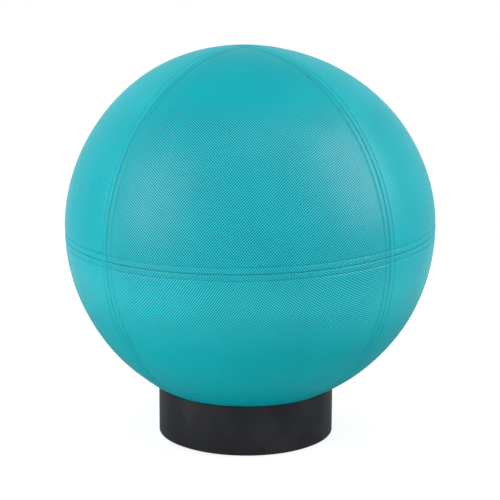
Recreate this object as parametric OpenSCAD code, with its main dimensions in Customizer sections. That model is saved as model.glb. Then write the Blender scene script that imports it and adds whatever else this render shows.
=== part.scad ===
// Ball chair: an inflated ball in a stitched mesh cover, sitting loose in a moulded ring.
// Millimetres, +Z up. The origin is at the centre of the ring, on the floor. The front looks along -Y.

/* [Ball] */
// Outer diameter of the covered ball
ball_d = 595; // [540:5:680]
// Wall of the inflated bladder
bladder_wall = 1.5; // [1:0.1:3]
// Clearance between the bladder and the cover's inside
bladder_gap = 0.3; // [0.2:0.05:1]

/* [Cover] */
// Thickness of the spacer mesh
cover_t = 6; // [5.6:0.1:8]
// Gap left between two panels at a seam
seam_gap = 0.3; // [0.2:0.05:0.6]
// Radius of a panel's drawn-in edge
edge_r = 4; // [2.5:0.1:5]
// How deep the panels' edges are drawn in at a seam
edge_depth = 3.6; // [1.5:0.1:4.5]
// Distance of each row of topstitching from its seam
stitch_offset = 10; // [8:0.5:14]
// Radius of the groove that a row of topstitching presses into the mesh
stitch_r = 1.5; // [1:0.1:2.5]
// Depth of that groove
stitch_depth = 0.7; // [0.3:0.05:1.2]
// How far the cover tips towards the front as it sits in the ring, in degrees
cover_pitch = 3.4; // [0:0.1:8]
// How far it tips to the left, in degrees
cover_roll = 1.4; // [0:0.1:8]
// How far it is turned to the left, in degrees
cover_turn = 0.7; // [0:0.1:10]

/* [Seam linings] */
// Thickness of the woven tapes behind the seams and of the zip's guard
lining_t = 0.7; // [0.5:0.1:1]
// Width of the seam tapes
lining_w = 24; // [16:1:30]
// Clearance between a lining and the mesh around it
lining_gap = 0.1; // [0.05:0.05:0.3]
// Side of the square at the poles that the meridian tapes leave free
pole_free = 26; // [26:1:40]

/* [Zip] */
// Arc of the back seam that the zip fills, in degrees
zip_angle = 80; // [40:1:81]
// Pitch of the teeth along one row
tooth_pitch = 4; // [3.8:0.1:5]
// Half the width of a tooth's head
tooth_head = 1.2; // [1:0.05:1.35]
// Clearance between a head and the necks beside it
tooth_gap = 0.15; // [0.12:0.01:0.25]
// Thickness of the teeth
tooth_t = 2.4; // [2:0.1:2.8]
// How far a tooth reaches across the seam into the other row
tooth_reach = 1.7; // [1.4:0.1:2]
// Length of a tooth on its own side of the seam
tooth_root = 3.4; // [3:0.1:3.8]
// Thickness of the zip's tape
zip_tape_t = 0.7; // [0.5:0.1:0.8]
// Distance from the seam to the tape's sewn edge
zip_tape_w = 17; // [15:0.5:22]
// Half the width of the slot in the cover that shows the teeth
slot_half = 6.3; // [6:0.1:8]
// Length of the slider
slider_l = 15; // [13:0.5:18]
// Length of the pull from its hinge to its end
pull_l = 30; // [22:1:40]

/* [Valve] */
// Diameter of the valve seat's flange
valve_flange_d = 40; // [32:1:60]
// Diameter of the hole in the bladder that the seat fills
valve_hole_d = 26; // [23:1:30]
// Diameter of the plug's head
plug_head_d = 18; // [14:0.5:21]
// Diameter of the plug's stem
plug_stem_d = 9; // [6:0.1:11]
// Length of the stem inside the ball
plug_stem_l = 20; // [12:1:30]

/* [Base ring] */
// Outer diameter of the ring
base_d = 288; // [260:1:330]
// Height of the ring's outer top edge above the floor
base_top = 82.5; // [70:0.5:110]
// Thickness of the ring's walls and ribs
base_wall = 3.5; // [3:0.1:5]
// Width of the ring from its outer wall to its open middle
ring_w = 38; // [36:0.5:48]
// Thickness of the dished seat
lip_t = 4.6; // [4:0.1:6]
// Clearance between the seat and the ball
lip_gap = 0.6; // [0.5:0.05:1]
// Radius of the bottom outer edge
base_edge_r = 3; // [1:0.1:3.4]
// Number of radial ribs
rib_count = 12; // [6:1:18]
// Number of screws in the floor plate
screw_count = 6; // [4:1:9]

/* [Grip ring] */
// Width of the grip ring, measured level
grip_w = 18; // [10:1:22]
// Thickness of the grip ring
grip_t = 2.2; // [1.6:0.1:2.6]
// Clearance between the grip ring and the ball
grip_gap = 0.3; // [0.2:0.05:0.4]

/* [Floor plate and foot] */
// Height of the foot ring that shows under the shell
foot_show = 2; // [1:0.1:4]
// Width of the foot ring
foot_w = 12; // [8:0.5:14]
// Thickness of the floor plate
floor_t = 4; // [3:0.1:6]
// Depth of the groove that the foot ring sits in
foot_sink = 2; // [1:0.1:2.4]
// Diameter of a screw's shank
screw_d = 3.4; // [2.5:0.1:4]
// Length of a screw's shank
screw_l = 16; // [10:1:24]

/* [Hidden] */
$fn = 96;
big = 2000;
ball_r = ball_d / 2;
mesh_in = ball_r - cover_t;
bladder_out = mesh_in - bladder_gap;
bladder_in = bladder_out - bladder_wall;
lining_out = mesh_in + lining_t;
tape_pocket = lining_out + lining_gap;

base_r = base_d / 2;
hole_r = base_r - ring_w;
seat_r = ball_r + lip_gap;
ball_z = base_top + sqrt(seat_r * seat_r - base_r * base_r);
// Where a row of topstitching ends, short of the row that it meets at a corner, in degrees
row_end = asin((stitch_offset + stitch_r + 0.7) / ball_r);
side_gap = 0.2;
shell_bottom = foot_show;
top_edge_r = 1.2;
hole_edge_r = 2;
plate_z = shell_bottom + 0.5;
plate_top = plate_z + floor_t;
void_in = hole_r + base_wall;
void_out = base_r - base_wall;
grip_out = void_out - 3;
grip_in = grip_out - grip_w;
grip_seat = ball_r + grip_gap + grip_t;
foot_out = void_out - 2.5;
foot_in = foot_out - foot_w;
foot_top = plate_z + foot_sink;
screw_at = (void_in + foot_in) / 2 - 0.6;
boss_r = screw_d / 2 + 2.4;
head_r = screw_d / 2 + 2.1;
head_t = 1.7;
head_room = 0.25;
shank_gap = 0.1;

// The zip, measured along the radius: guard, slider's under plate, teeth, slider's top plate
under_z = lining_out + 0.35;
under_t = 0.95;
tooth_z = under_z + under_t + 0.2;
tooth_top = tooth_z + tooth_t;
tape_mid = tooth_z + tooth_t / 2;
tape_z = tape_mid - zip_tape_t / 2;
tape_out = tape_mid + zip_tape_t / 2;
top_z = tooth_top + 0.2;
top_t = 1.4;
crown_z = top_z + top_t;
row_gap = 0.1;
tooth_neck = tooth_pitch / 2 - tooth_head - tooth_gap;
tape_edge = 2.3;
bead_w = 1;
bead_t = zip_tape_t + 0.2;
tape_overrun = 2;
guard_overrun = 0.8;
end_gap = 0.1;
slot_edge_r = 1.5;
slot_edge_depth = 1.2;
zip_half = zip_angle / 2;
mm = 180 / PI / tape_mid;
tooth_step = tooth_pitch * mm;
slider_at = zip_half - (slider_l / 2 + 4.2) * mm;
wedge_tip = slider_l * 0.12;
last_tooth = slider_at + (wedge_tip - tooth_head - 0.3) * mm;
first_tooth = 5 * mm - zip_half;
tooth_count = floor((last_tooth - first_tooth) / tooth_step);
bar_r = 0.75;
bar_gap = 0.25;
bar_z = crown_z + bar_gap + bar_r;
bridge_w = 2.6;
bridge_post = 1.2;
bridge_half = 4.8;
bridge_t = 1;
bridge_z = bar_z + bar_r + bar_gap;
arm_in = bridge_w / 2 + 0.4;
arm_out = arm_in + 1.7;
guard_up = 14;
guard_down = lining_w;

// The panels' middles, as angles from +X seen from above
SIDES = [["front", 270], ["right", 0], ["back", 90], ["left", 180]];

// Places

// The ball's own frame: its middle at the origin, its poles on Z, tipped as it sits in the ring
module on_ball() {
    translate([0, 0, ball_z])
        rotate([0, -cover_roll, 0])
            rotate([cover_pitch, 0, 0])
                rotate([0, 0, -cover_turn])
                    children();
}

// A place on the zip: x runs along it to the closed end, y up, z out of the ball
module at_zip(angle) {
    rotate([0, 0, 90 + angle])
        rotate([90, 0, 90])
            children();
}

// Turns what is drawn round Z into a ring in the plane of the meridian seam at this angle
module on_meridian(angle) {
    rotate([0, 0, angle])
        rotate([90, 0, 0])
            children();
}

// Part of a turn round Z, centred on +Y, where the zip is
module back_sweep(angle) {
    rotate([0, 0, 90 - angle / 2])
        rotate_extrude(angle = angle)
            children();
}

// The half plane between two heights
module band(low, high) {
    translate([0, low])
        square([big, high - low]);
}

module ring_section(inner, outer) {
    difference() {
        circle(outer);
        circle(inner);
    }
}

// Base ring

// Outline of the ring as if it were solid: straight walls, dished top, eased edges
module ring_outline() {
    difference() {
        translate([hole_r, shell_bottom])
            square([base_r - hole_r, base_top]);
        translate([0, ball_z])
            circle(seat_r);
        translate([base_r, shell_bottom])
            eased_corner(base_edge_r);
        eased_rim(base_r, 1, top_edge_r);
        eased_rim(hole_r, -1, hole_edge_r);
    }
}

// What a round edge takes off a square corner at the origin, with the material above and left of it
module eased_corner(r) {
    over = r * 0.06;
    difference() {
        translate([over - r, -r])
            square([2 * r, 2 * r - over]);
        translate([over - r, r - over])
            circle(r);
    }
}

// What a round edge takes off between the dished seat and a wall: side 1 is the outer wall, -1 the inner
module eased_rim(wall_r, side, r) {
    inset = r * 0.94;
    x = wall_r - side * inset;
    reach = seat_r + inset;
    up = sqrt(reach * reach - x * x);
    translate([x, ball_z - up])
        difference() {
            polygon([[0, 0], [side * 4 * r, 0], [side * 4 * r, 4 * r], [-4 * r * x / reach, 4 * r * up / reach]]);
            circle(r);
        }
}

// The hollow under the dished seat, open below
module ring_hollow() {
    difference() {
        translate([void_in, 0])
            square([void_out - void_in, base_top]);
        translate([0, ball_z])
            circle(seat_r + lip_t);
    }
}

module grip_groove() {
    intersection() {
        translate([0, ball_z])
            circle(grip_seat + row_gap / 2);
        translate([grip_in, 0])
            square([grip_w, base_top]);
    }
}

module round_about(count, start) {
    for (i = [0 : count - 1])
        rotate([0, 0, start + i * 360 / count])
            children();
}

// Where ribs and bosses stand: the hollow, and 1 mm into the walls and seat around it
module rib_room() {
    difference() {
        translate([void_in - 1, plate_top + side_gap])
            square([void_out - void_in + 2, base_top]);
        translate([0, ball_z])
            circle(seat_r + lip_t - 1);
    }
}

module ribs_and_bosses() {
    intersection() {
        rotate_extrude()
            rib_room();
        union() {
            round_about(rib_count, 0)
                translate([hole_r, -base_wall / 2, 0])
                    cube([base_r - hole_r, base_wall, 2 * base_top]);
            round_about(screw_count, 180 / rib_count)
                translate([screw_at, 0, 0])
                    cylinder(r = boss_r, h = 2 * base_top);
        }
    }
}

module base_shell() {
    color("#2b2c30")
        difference() {
            union() {
                rotate_extrude()
                    difference() {
                        ring_outline();
                        ring_hollow();
                        grip_groove();
                    }
                ribs_and_bosses();
            }
            round_about(screw_count, 180 / rib_count)
                translate([screw_at, 0, 0])
                    cylinder(d = screw_d + shank_gap, h = plate_z + head_t + screw_l + 1);
        }
}

module grip_ring() {
    color("#1d1e20")
        rotate_extrude()
            intersection() {
                translate([0, ball_z])
                    ring_section(ball_r + grip_gap, grip_seat);
                translate([grip_in + row_gap, 0])
                    square([grip_w - 2 * row_gap, base_top]);
            }
}

module base_floor() {
    color("#26272a")
        difference() {
            rotate_extrude()
                difference() {
                    translate([void_in + side_gap, plate_z])
                        square([void_out - void_in - 2 * side_gap, floor_t]);
                    translate([foot_in - row_gap, plate_z - 1])
                        square([foot_w + 2 * row_gap, foot_sink + 1]);
                }
            round_about(screw_count, 180 / rib_count)
                translate([screw_at, 0, plate_z]) {
                    translate([0, 0, -1])
                        cylinder(d = screw_d + 2 * side_gap, h = floor_t + 2);
                    translate([0, 0, -1])
                        cylinder(r = head_r + head_room, h = 1 + head_t + head_room);
                }
        }
}

module floor_screws() {
    color("#b9bcc2")
        round_about(screw_count, 180 / rib_count)
            translate([screw_at, 0, plate_z + head_room]) {
                cylinder(r = head_r, h = head_t);
                cylinder(d = screw_d, h = head_t + screw_l);
            }
}

module foot_ring() {
    color("#151618")
        rotate_extrude()
            translate([foot_in, 0])
                square([foot_w, foot_top]);
}

// Ball

module ball_bladder() {
    color("#9aa0a6")
        on_ball()
            difference() {
                sphere(bladder_out);
                sphere(bladder_in);
                at_zip(0)
                    cylinder(d = valve_hole_d, h = big);
            }
}

// Heights of the valve's pieces along the radius
valve_top = sqrt(bladder_out * bladder_out - valve_hole_d * valve_hole_d / 4) - 0.2;
flange_t = 3;
flange_in = sqrt(bladder_in * bladder_in - valve_flange_d * valve_flange_d / 4) - flange_t;
plug_head_t = 1.1;
plug_gap = 0.1;

module valve_seat() {
    color("#8b9197")
        on_ball()
            at_zip(0)
                difference() {
                    union() {
                        translate([0, 0, flange_in])
                            cylinder(d = valve_hole_d - 2 * plug_gap, h = valve_top - flange_in);
                        intersection() {
                            translate([0, 0, flange_in])
                                cylinder(d = valve_flange_d, h = flange_t * 2);
                            sphere(bladder_in - plug_gap, $fn = 256);
                        }
                    }
                    cylinder(d = plug_stem_d + 2 * plug_gap, h = big);
                    translate([0, 0, valve_top - plug_head_t - plug_gap])
                        cylinder(d = plug_head_d + 2 * plug_gap, h = big);
                }
}

module valve_plug() {
    stem_z = valve_top - plug_head_t - plug_stem_l;
    color("#e4e5e6")
        on_ball()
            at_zip(0)
                difference() {
                    union() {
                        translate([0, 0, valve_top - plug_head_t])
                            cylinder(d = plug_head_d, h = plug_head_t);
                        translate([0, 0, stem_z])
                            cylinder(d = plug_stem_d, h = plug_stem_l + plug_head_t / 2);
                    }
                    translate([0, 0, stem_z - 1])
                        cylinder(d = plug_stem_d / 2, h = plug_stem_l - 2);
                }
}

// Draws round Z, from before +X to past +Y by this many degrees: negative stays short of them
module along_edge(over) {
    rotate([0, 0, -over])
        rotate_extrude(angle = 90 + 2 * over)
            children();
}

// Repeats what lies along the first octant's edge on the floor for its other two edges
module each_edge() {
    children();
    rotate([90, 0, 90])
        children();
    rotate([0, -90, -90])
        children();
}

// What a panel's drawn-in edge loses beside a seam, drawn across the seam
module edge_section() {
    middle = seam_gap / 2 + edge_r * 0.94;
    translate([ball_r - edge_depth, 0])
        difference() {
            translate([0, -edge_r])
                square([edge_r * 2, edge_r + middle - edge_r * 0.3]);
            translate([0, middle])
                circle(edge_r);
        }
}

// What a row of topstitching presses into the mesh, drawn across the seam
module stitch_section() {
    translate([ball_r - stitch_depth + stitch_r, stitch_offset])
        circle(stitch_r);
}

// A ball that starts its turn behind the first octant
module turned_ball(r) {
    rotate([0, 0, 225])
        sphere(r);
}

// The slot for the teeth and its rounded edges, drawn across the zip
module slot_section() {
    translate([mesh_in - 1, -slot_half])
        square([cover_t + 4, slot_half * 2]);
    for (side = [0, 1])
        mirror([0, side])
            translate([ball_r - slot_edge_depth, slot_half])
                difference() {
                    square(2 * slot_edge_r);
                    translate([0, slot_edge_r])
                        circle(slot_edge_r);
                    translate([-slot_edge_r, slot_edge_r])
                        square(4 * slot_edge_r);
                }
}

// The room that the zip takes from the two back panels: slot, tape pocket and guard pocket
module zip_space() {
    back_sweep(zip_angle)
        slot_section();
    back_sweep(zip_angle + 2 * tape_overrun + 2 * end_gap)
        translate([mesh_in - 1, -zip_tape_w - row_gap])
            square([tape_out + row_gap - mesh_in + 1, 2 * (zip_tape_w + row_gap)]);
    back_sweep(zip_angle + 2 * guard_overrun + 2 * end_gap)
        intersection() {
            ring_section(mesh_in - 1, tape_pocket);
            band(-guard_down - lining_gap, 0);
        }
}

// One eighth of the cover: the first octant, with a seam on each of its three sides
module octant() {
    pocket = lining_w / 2 + lining_gap;
    difference() {
        intersection() {
            turned_ball(ball_r);
            translate([seam_gap / 2, seam_gap / 2, seam_gap / 2])
                cube(ball_d);
        }
        turned_ball(mesh_in);
        difference() {
            turned_ball(tape_pocket);
            translate([pocket, pocket, pocket])
                cube(ball_d);
        }
        each_edge()
            along_edge(5)
                edge_section();
        each_edge()
            along_edge(-row_end)
                stitch_section();
    }
}

// The panel centred at this angle from +X
module cover_panel(angle, upper) {
    color(upper ? "#33b1bd" : "#2aa3b0")
        on_ball()
            difference() {
                mirror([0, 0, upper ? 0 : 1])
                    rotate([0, 0, angle - 45])
                        octant();
                if (angle == 90)
                    zip_space();
            }
}

// Four tapes, each behind one meridian seam, from the equator's tape to near the pole
module seam_tapes(upper) {
    low = asin((lining_w / 2 + 1) / mesh_in);
    high = 90 - asin(pole_free / 2 / mesh_in);
    color("#2a8f9c")
        on_ball()
            for (side = SIDES)
                mirror([0, 0, upper ? 0 : 1])
                    on_meridian(side[1] + 45)
                        rotate([0, 0, low])
                            rotate_extrude(angle = high - low)
                                lining_section();
}

module lining_section() {
    intersection() {
        ring_section(mesh_in, lining_out);
        band(-lining_w / 2, lining_w / 2);
    }
}

module equator_tape() {
    free = zip_angle + 2 * guard_overrun + 4 * end_gap;
    color("#2a8f9c")
        on_ball()
            rotate([0, 0, 90 + free / 2])
                rotate_extrude(angle = 360 - free)
                    lining_section();
}

// Zip

module zip_guard() {
    color("#3a4a50")
        on_ball()
            back_sweep(zip_angle + 2 * guard_overrun)
                intersection() {
                    ring_section(mesh_in, lining_out);
                    band(-guard_down, guard_up);
                }
}

module zip_tape(upper) {
    color("#1f8793")
        on_ball()
            mirror([0, 0, upper ? 0 : 1])
                back_sweep(zip_angle + 2 * tape_overrun) {
                    translate([tape_z, tape_edge])
                        square([zip_tape_t, zip_tape_w - tape_edge]);
                    translate([tape_mid - bead_t / 2, tape_edge])
                        square([bead_t, bead_w]);
                }
}

// A tooth seen from outside: a broad root, a neck and a head that locks between two necks
module tooth_outline() {
    flare = 0.35;
    tip = 0.35;
    right = [
        [tooth_head, tooth_root],
        [tooth_head, tooth_reach + 0.2],
        [tooth_neck, tooth_reach - 0.1],
        [tooth_neck, flare],
        [tooth_head, -flare],
        [tooth_head - tip, -tooth_reach]
    ];
    left = [for (i = [len(right) - 1 : -1 : 0]) [-right[i][0], right[i][1]]];
    polygon(concat(right, left));
}

// The tape's edge and bead, which teeth and stops close around
module tape_slot(length) {
    translate([-length / 2, tape_edge - row_gap, tape_mid - bead_t / 2 - row_gap])
        cube([length, tooth_root, bead_t + 2 * row_gap]);
}

module zip_teeth(upper) {
    color("#23838f")
        on_ball()
            for (i = [0 : tooth_count - 1])
                at_zip(last_tooth - (i + (upper ? 0 : 0.5)) * tooth_step)
                    mirror([0, upper ? 0 : 1, 0])
                        difference() {
                            translate([0, 0, tooth_z])
                                linear_extrude(tooth_t)
                                    tooth_outline();
                            tape_slot(3 * tooth_head);
                        }
}

module zip_top_stops() {
    stop_l = 2.4;
    stop_w = 2.4;
    color("#b9bcc2")
        on_ball()
            at_zip(zip_half - 2 * mm)
                for (side = [0, 1])
                    mirror([0, side, 0])
                        difference() {
                            translate([-stop_l / 2, tape_edge - 0.9, tooth_z])
                                cube([stop_l, stop_w, tooth_t]);
                            tape_slot(2 * stop_l);
                        }
}

module zip_bottom_stop() {
    stop_l = 3;
    color("#b9bcc2")
        on_ball()
            at_zip(2 * mm - zip_half)
                difference() {
                    translate([-stop_l / 2, -tooth_root, tooth_z])
                        cube([stop_l, 2 * tooth_root, tooth_t]);
                    for (side = [0, 1])
                        mirror([0, side, 0])
                            tape_slot(2 * stop_l);
                }
}

// The slider's outline from outside: a narrow rear and a broad mouth at the front
module slider_outline() {
    rear = tooth_root + 1.4;
    mouth = slot_half - 0.7;
    h = slider_l / 2;
    right = [
        [-h, rear - 1.2],
        [-h + 1, rear - 0.2],
        [0, rear],
        [h * 0.45, mouth],
        [h - 1.2, mouth],
        [h, mouth - 1.6]
    ];
    under = [for (i = [len(right) - 1 : -1 : 0]) [right[i][0], -right[i][1]]];
    polygon(concat(right, under));
}

// The post between the rows that parts the teeth, beyond the last tooth when the zip is shut
module slider_wedge() {
    h = slider_l / 2;
    polygon([[wedge_tip, 0], [h * 0.6, 1.3], [h - 1, 0.9], [h - 1, -0.9], [h * 0.6, -1.3]]);
}

module zip_slider() {
    flange_gap = 0.35;
    color("#b9bcc2")
        on_ball()
            at_zip(slider_at) {
                translate([0, 0, under_z])
                    linear_extrude(under_t)
                        slider_outline();
                translate([0, 0, top_z])
                    linear_extrude(top_t)
                        slider_outline();
                translate([0, 0, under_z])
                    linear_extrude(top_z - under_z + top_t / 2)
                        slider_wedge();
                for (side = [-1, 1])
                    for (z = [[under_z, tape_z - flange_gap], [tape_out + flange_gap, top_z + top_t]])
                        translate([-slider_l / 2 + 1, side > 0 ? tooth_root + 0.3 : -tooth_root - 1.2, z[0]])
                            cube([slider_l / 2, 0.9, z[1] - z[0]]);
                for (x = [-bridge_half, bridge_half - bridge_post])
                    translate([x, -bridge_w / 2, crown_z - 0.2])
                        cube([bridge_post, bridge_w, bridge_z + bridge_t - crown_z + 0.2]);
                translate([-bridge_half, -bridge_w / 2, bridge_z])
                    cube([2 * bridge_half, bridge_w, bridge_t]);
            }
}

module zip_pull() {
    plate_x = bridge_half + 1.2;
    color("#b9bcc2")
        on_ball()
            at_zip(slider_at)
                translate([0, 0, bar_z]) {
                    rotate([90, 0, 0])
                        cylinder(r = bar_r, h = 2 * arm_out, center = true);
                    translate([0, 0, -bar_r])
                        linear_extrude(2 * bar_r)
                            difference() {
                                union() {
                                    translate([-pull_l + arm_out, -arm_out])
                                        square([pull_l - arm_out, 2 * arm_out]);
                                    translate([-pull_l + arm_out, 0])
                                        circle(arm_out);
                                }
                                translate([-plate_x, -arm_in])
                                    square([plate_x + 1, 2 * arm_in]);
                                translate([-pull_l + arm_out + 1, 0])
                                    circle(arm_out / 2);
                            }
                }
}

base_shell();
grip_ring();
base_floor();
floor_screws();
foot_ring();
ball_bladder();
valve_seat();
valve_plug();
for (side = SIDES) {
    cover_panel(side[1], true);
    cover_panel(side[1], false);
}
seam_tapes(true);  // seam_tapes_upper
seam_tapes(false);  // seam_tapes_lower
equator_tape();
zip_guard();
zip_tape(true);  // zip_tape_upper
zip_tape(false);  // zip_tape_lower
zip_teeth(true);  // zip_teeth_upper
zip_teeth(false);  // zip_teeth_lower
zip_top_stops();
zip_bottom_stop();
zip_slider();
zip_pull();
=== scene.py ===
# %% [markdown]
# # A ball chair: an inflated ball in a stitched mesh cover, resting in a moulded ring
#
# The hard pieces of this chair (ring, screws, zip teeth, slider) come ready made from the CAD model. The
# soft ones are made here: eight cover panels, their stitching, the woven tapes and the inflated ball.
# Lengths are in metres, the floor is z = 0 and the front looks along -Y.

# %% Load the frame
import math

import bpy
import numpy as np
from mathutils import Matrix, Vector


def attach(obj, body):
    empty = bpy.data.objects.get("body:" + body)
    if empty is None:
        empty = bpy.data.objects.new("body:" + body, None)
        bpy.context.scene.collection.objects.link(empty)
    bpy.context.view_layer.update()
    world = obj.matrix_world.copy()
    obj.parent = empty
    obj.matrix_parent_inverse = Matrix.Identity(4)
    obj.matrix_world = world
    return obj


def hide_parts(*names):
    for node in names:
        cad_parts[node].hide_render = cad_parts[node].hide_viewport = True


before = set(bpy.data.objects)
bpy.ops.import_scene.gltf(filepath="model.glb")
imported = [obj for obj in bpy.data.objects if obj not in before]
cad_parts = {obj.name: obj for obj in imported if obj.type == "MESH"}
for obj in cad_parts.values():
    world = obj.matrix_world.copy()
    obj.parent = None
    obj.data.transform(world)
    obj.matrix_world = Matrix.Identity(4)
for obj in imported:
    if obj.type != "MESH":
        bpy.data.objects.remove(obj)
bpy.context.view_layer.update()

# %% [markdown]
# ## The sizes that the soft pieces share with the hard ones
#
# The soft pieces have to meet the zip and the ring, so they start from the CAD model's own numbers. The
# cover sits a little tipped in its ring, as in the photograph: its poles lean to the front and to the left.
# One turning matrix holds that, and every piece of the ball is worked out upright and then turned by it.

# %% Sizes and the cover's tilt
MM = 0.001
BALL_R = 297.5 * MM
BASE_R = 144 * MM
BASE_TOP = 82.5 * MM
LIP_GAP = 0.6 * MM
BALL_Z = BASE_TOP + math.sqrt((BALL_R + LIP_GAP) ** 2 - BASE_R**2)
MESH_T = 6 * MM
MESH_IN = BALL_R - MESH_T
LINING_T = 0.7 * MM
TAPE_MID = MESH_IN + 3.4 * MM  # the radius at which the zip's tapes and teeth run
TIPPED_LEFT, TIPPED_FRONT, TURNED_LEFT = 1.4, 3.4, 0.7  # degrees


def turned(axis, degrees):
    """The matrix of a right-handed turn about one axis: x, y or z."""
    c, s = math.cos(math.radians(degrees)), math.sin(math.radians(degrees))
    rows = {
        "x": [[1, 0, 0], [0, c, -s], [0, s, c]],
        "y": [[c, 0, s], [0, 1, 0], [-s, 0, c]],
        "z": [[c, -s, 0], [s, c, 0], [0, 0, 1]],
    }
    return np.array(rows[axis])


COVER_TILT = turned("y", -TIPPED_LEFT) @ turned("x", TIPPED_FRONT) @ turned("z", -TURNED_LEFT)
print("ball centre", round(BALL_Z, 5), "polar axis", COVER_TILT[:, 2].round(4))

# %% [markdown]
# ## The camera
#
# The photograph looks slightly down from the front, from about 2.3 m. A long lens from far away keeps the
# ball round. Place and lens were found by fitting the ring's edges, the ball's outline and the seams.

# %% Camera
CAMERA_TARGET = np.array([0.0045, 0.0, 0.3048])
CAMERA_AWAY = 2.3098
CAMERA_UP = math.radians(10.77)
CAMERA_ROLL = math.radians(-0.22)
LENS_PIXELS = 1411.3
PICTURE_PIXELS = 500
SENSOR_MM = 36

camera = bpy.data.objects.new("camera", bpy.data.cameras.new("camera"))
bpy.context.scene.collection.objects.link(camera)
bpy.context.scene.camera = camera
camera.data.sensor_width = SENSOR_MM
camera.data.lens = LENS_PIXELS / PICTURE_PIXELS * SENSOR_MM
camera.location = CAMERA_TARGET + CAMERA_AWAY * np.array([0, -math.cos(CAMERA_UP), math.sin(CAMERA_UP)])
camera.rotation_euler = (math.pi / 2 - CAMERA_UP, CAMERA_ROLL, 0)
bpy.context.scene.view_settings.view_transform = "Standard"
print("camera at", [round(x, 3) for x in camera.location], "lens", round(camera.data.lens, 1), "mm")

# %% [markdown]
# ## How the ball settles
#
# A true sphere would look too perfect. The real ball is soft: it is a little flatter than a sphere, leans a
# few millimetres to one side of its ring, swells a little at its sides and has shallow flats where the
# cover is tight. A lattice or a sculpted mesh could do that to one piece. Here one function moves any point
# of the ball, so the panels, tapes and stitches all settle together and keep their gaps. It fades out in
# the ring's seat, and at the back, where the zip is hard and stays where the CAD model has it.

# %% Steps and bells
def smooth(x, start, end):
    """0 before start and 1 after end, with a soft step t*t*(3 - 2*t) between."""
    t = np.clip((x - start) / (end - start), 0, 1)
    return t * t * (3 - 2 * t)


def until(x, start, end):
    """The other way round: 1 before start and 0 after end."""
    return 1 - smooth(x, start, end)


def bell(x, middle, width):
    """A bump exp(-((x - middle) / width)^2): 1 in its middle, and almost 0 at twice its width."""
    return np.exp(-(((x - middle) / width) ** 2))


print("a soft step at a quarter of its way:", smooth(0.25, 0, 1))

# %% Settling
LEAN = 5.6 * MM
SWELL = 1.8 * MM
SAG = 0.8 * MM
SQUASH = 2.4 * MM
# On a ball with a radius of 1: the heights over which the move starts, and the depths over which it ends
ABOVE_SEAT, ABOVE_RING = (-0.88, -0.78), (-0.80, -0.45)
TO_BACK = (0.0, 0.62)
# Shallow swells and flats seen in the outline: their direction to the right, to the back and up, their width
# in degrees and their height
LUMPS = [
    ((0.24, -0.10, 0.97), 16, -3.6 * MM),
    ((0.55, -0.12, 0.82), 14, -2.2 * MM),
    ((-0.50, -0.12, 0.87), 20, 3.2 * MM),
    ((0.66, -0.12, -0.74), 10, 1.1 * MM),
    ((0.98, -0.13, 0.17), 18, 1.6 * MM),
]


def settled(points):
    """Moves points of the true ball to the settled ball.
    With (x, y, z) the direction from the ball's centre, the move is
    (lean + swell x, swell y, sag y - squash z), plus a bell along that direction over the angle from each
    lump. Soft steps fade it out near the ring's seat and towards the back."""
    centre = np.array([0, 0, BALL_Z])
    n = (points - centre) / np.linalg.norm(points - centre, axis=-1, keepdims=True)
    x, y, z = n[..., 0], n[..., 1], n[..., 2]
    keep = (smooth(z, *ABOVE_SEAT) + smooth(z, *ABOVE_RING)) / 2 * until(y, *TO_BACK)
    move = np.stack([LEAN + SWELL * x, SWELL * y, SAG * y - SQUASH * z], -1)
    for toward, width, height in LUMPS:
        toward = np.array(toward) / np.linalg.norm(toward)
        angle = np.degrees(np.arccos(np.clip(n @ toward, -1, 1)))
        move += (height * bell(angle, 0, width))[..., None] * n
    return points + keep[..., None] * move


def on_ball(directions, radius):
    """Puts unit directions of the upright cover at a radius on the tipped ball, then settles them."""
    return settled((directions * np.asarray(radius)[..., None]) @ COVER_TILT.T + np.array([0, 0, BALL_Z]))


print("top of the settled ball", settled(np.array([0, 0, BALL_Z + BALL_R])).round(4))

# %% [markdown]
# ## From arrays to meshes
#
# Every soft piece is a grid of points worked out by numpy. These helpers turn such grids into Blender
# meshes. `from_pydata` takes the points and faces, and `foreach_set` fills a UV map in one go. A weld step
# joins grid patches where they share points, and a shell step gives a surface its inside and its rim.

# %% Faces
WELD_STEPS = 1e6  # points of a ball of radius 1 that agree to a millionth are one


def grid_faces(rows, columns, closed=False):
    """The four-sided faces of a grid of rows x columns points, as an array of point numbers.
    A face's corners run (i, j), (i+1, j), (i+1, j+1), (i, j+1). closed joins the last column to the first."""
    i, j = np.meshgrid(np.arange(rows - 1), np.arange(columns if closed else columns - 1), indexing="ij")
    k = (j + 1) % columns
    corners = [i * columns + j, (i + 1) * columns + j, (i + 1) * columns + k, i * columns + k]
    return np.stack([c.ravel() for c in corners], 1)


def ladder_faces(count):
    """Faces that close a ring of n points like the rungs of a ladder: i, i + 1, n - i - 2, n - i - 1."""
    i = np.arange(count // 2 - 1)
    return np.stack([i, i + 1, count - i - 2, count - i - 1], 1)


def welded(points, faces):
    """Finds points at the same place. Gives the first one's number for each place, and the new faces."""
    places = np.round(points * WELD_STEPS)
    _, first, number = np.unique(places, axis=0, return_index=True, return_inverse=True)
    return first, number.ravel()[faces]


def rim_edges(faces):
    """The directed edges that only one face has: an edge a-b whose partner b-a is missing."""
    a, b = faces.ravel(), np.roll(faces, -1, axis=1).ravel()
    n = faces.max() + 1
    open_ = ~np.isin(a * n + b, b * n + a)
    return a[open_], b[open_]


def shell_faces(faces, count):
    """Faces of a closed shell: the outer ones, the same reversed on the inner points, and a strip at the rim."""
    a, b = rim_edges(faces)
    rim = np.stack([b, a, a + count, b + count], 1)
    return np.concatenate([faces, faces[:, ::-1] + count, rim])


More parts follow.
